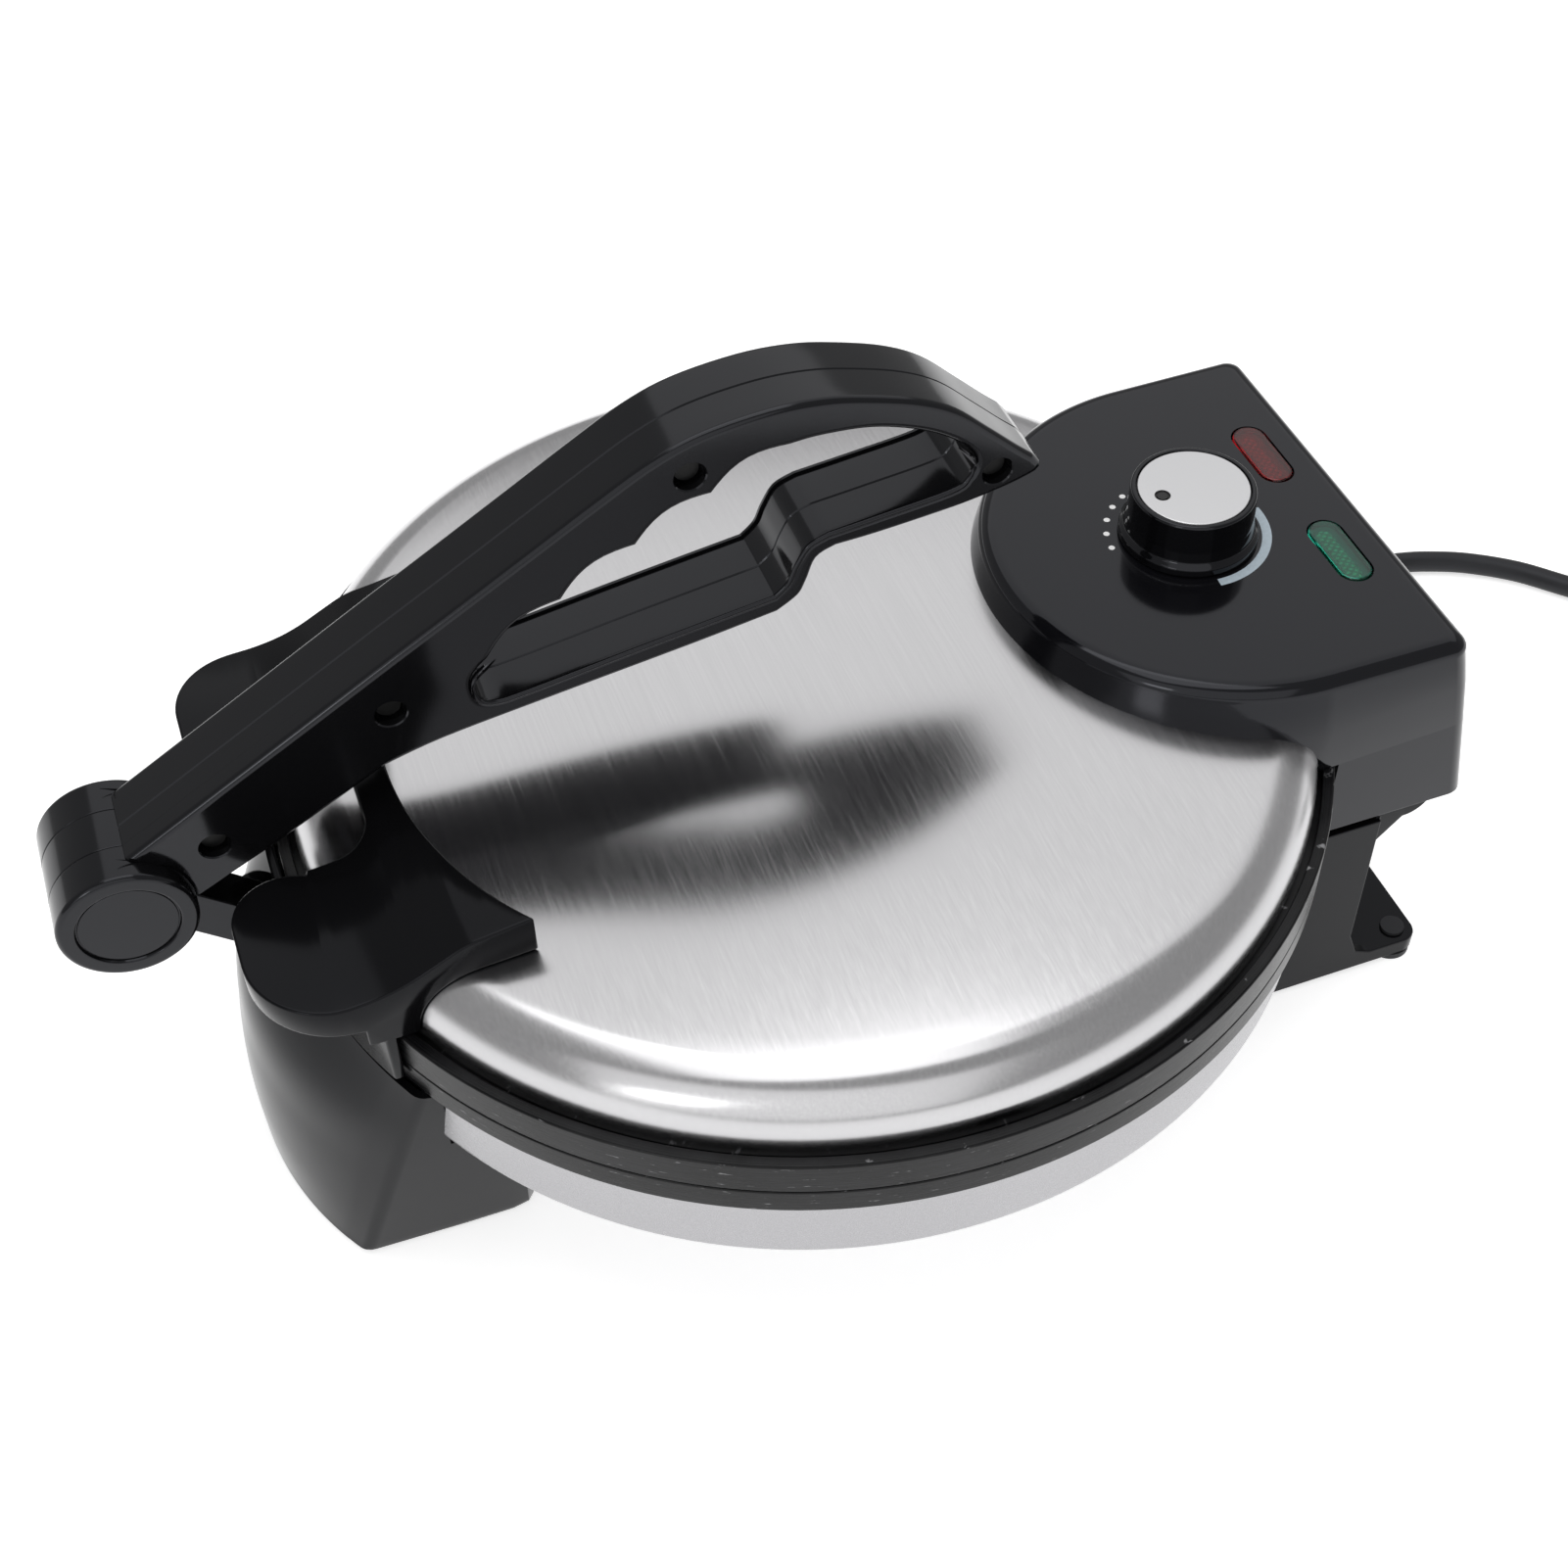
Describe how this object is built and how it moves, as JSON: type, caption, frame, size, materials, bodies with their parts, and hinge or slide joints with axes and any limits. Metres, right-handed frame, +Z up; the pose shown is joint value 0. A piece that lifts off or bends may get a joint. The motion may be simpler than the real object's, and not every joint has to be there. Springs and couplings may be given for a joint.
{
  "type": "electric flatbread press",
  "caption": "Electric flatbread press with a brushed steel lid on a black hinged housing, a dial with two lamps, and a long lever with a looped finger grip.",
  "frame": {"origin": "on the table, under the middle of the appliance's box without its cord", "axes": "+Z up, +Y towards the hinge and the cord, +X to the right as seen from the front"},
  "size_m": [0.2754, 0.6107, 0.2113],
  "materials": {
    "brushed_lid": "straight brushed stainless sheet",
    "cast_plate": "dark coated cast plate with a machined edge",
    "heater_tube": "dull heater sheath",
    "black_gloss": "glossy black moulding",
    "screw_steel": "plain steel",
    "foot_rubber": "soft black rubber",
    "cord_rubber": "black cord sheath",
    "tie_black": "soft black tie",
    "thermostat_tin": "dull metal",
    "lens_red": "clear deep red lens",
    "lens_green": "clear deep green lens",
    "lamp_glass": "clear glass",
    "dial_silver": "satin silver disc"
  },
  "bodies": {
    "base": {"base_pan": "brushed_lid", "lower_plate": "cast_plate", "lower_heater": "heater_tube", "front_bracket": "black_gloss", "rear_bracket": "black_gloss", "bracket_screws": "screw_steel", "rubber_feet": "foot_rubber", "hinge_pins": "screw_steel", "link_pin": "screw_steel", "strain_relief": "cord_rubber", "mains_cord": "cord_rubber", "cord_coil": "cord_rubber", "cord_tail": "cord_rubber", "cord_tie": "tie_black", "plug": "cord_rubber"},
    "lid": {"lid_shell": "brushed_lid", "upper_plate": "cast_plate", "upper_heater": "heater_tube", "lid_grip": "black_gloss", "grip_screws": "screw_steel", "lid_screws": "screw_steel", "control_housing": "black_gloss", "housing_underside": "black_gloss", "underside_screws": "screw_steel", "thermostat": "thermostat_tin", "lamp_red": "lens_red", "lamp_green": "lens_green", "lamp_bulbs": "lamp_glass"},
    "knob": {"dial_knob": "black_gloss", "dial_cap": "dial_silver", "thermostat_shaft": "screw_steel"},
    "link": {"link_bar": "black_gloss"},
    "lever": {"lever_right": "black_gloss", "lever_left": "black_gloss", "lever_screws": "screw_steel", "barrel_caps": "black_gloss", "barrel_pin": "screw_steel"}
  },
  "joints": [
    {"name": "lid_hinge", "type": "hinge", "parent": "base", "child": "lid", "pos_m": [0, 0.16275, 0.0725], "axis": [-1, 0, 0], "range_deg": [0, 70]},
    {"name": "link_swing", "type": "hinge", "parent": "base", "child": "link", "pos_m": [0, -0.13275, 0.0818], "axis": [1, 0, 0], "range_deg": [0, 10]},
    {"name": "lever_swing", "type": "hinge", "parent": "link", "child": "lever", "pos_m": [0, -0.16295, 0.1101], "axis": [1, 0, 0], "range_deg": [0, 164.5]},
    {"name": "knob_turn", "type": "hinge", "parent": "lid", "child": "knob", "pos_m": [0, 0.12165, 0.143], "axis": [0, 0, -1], "range_deg": [0, 270]}
  ],
  "couplings": [
    {"joint": "lever_swing", "follows": "lid_hinge", "ratio": 2.35}
  ]
}
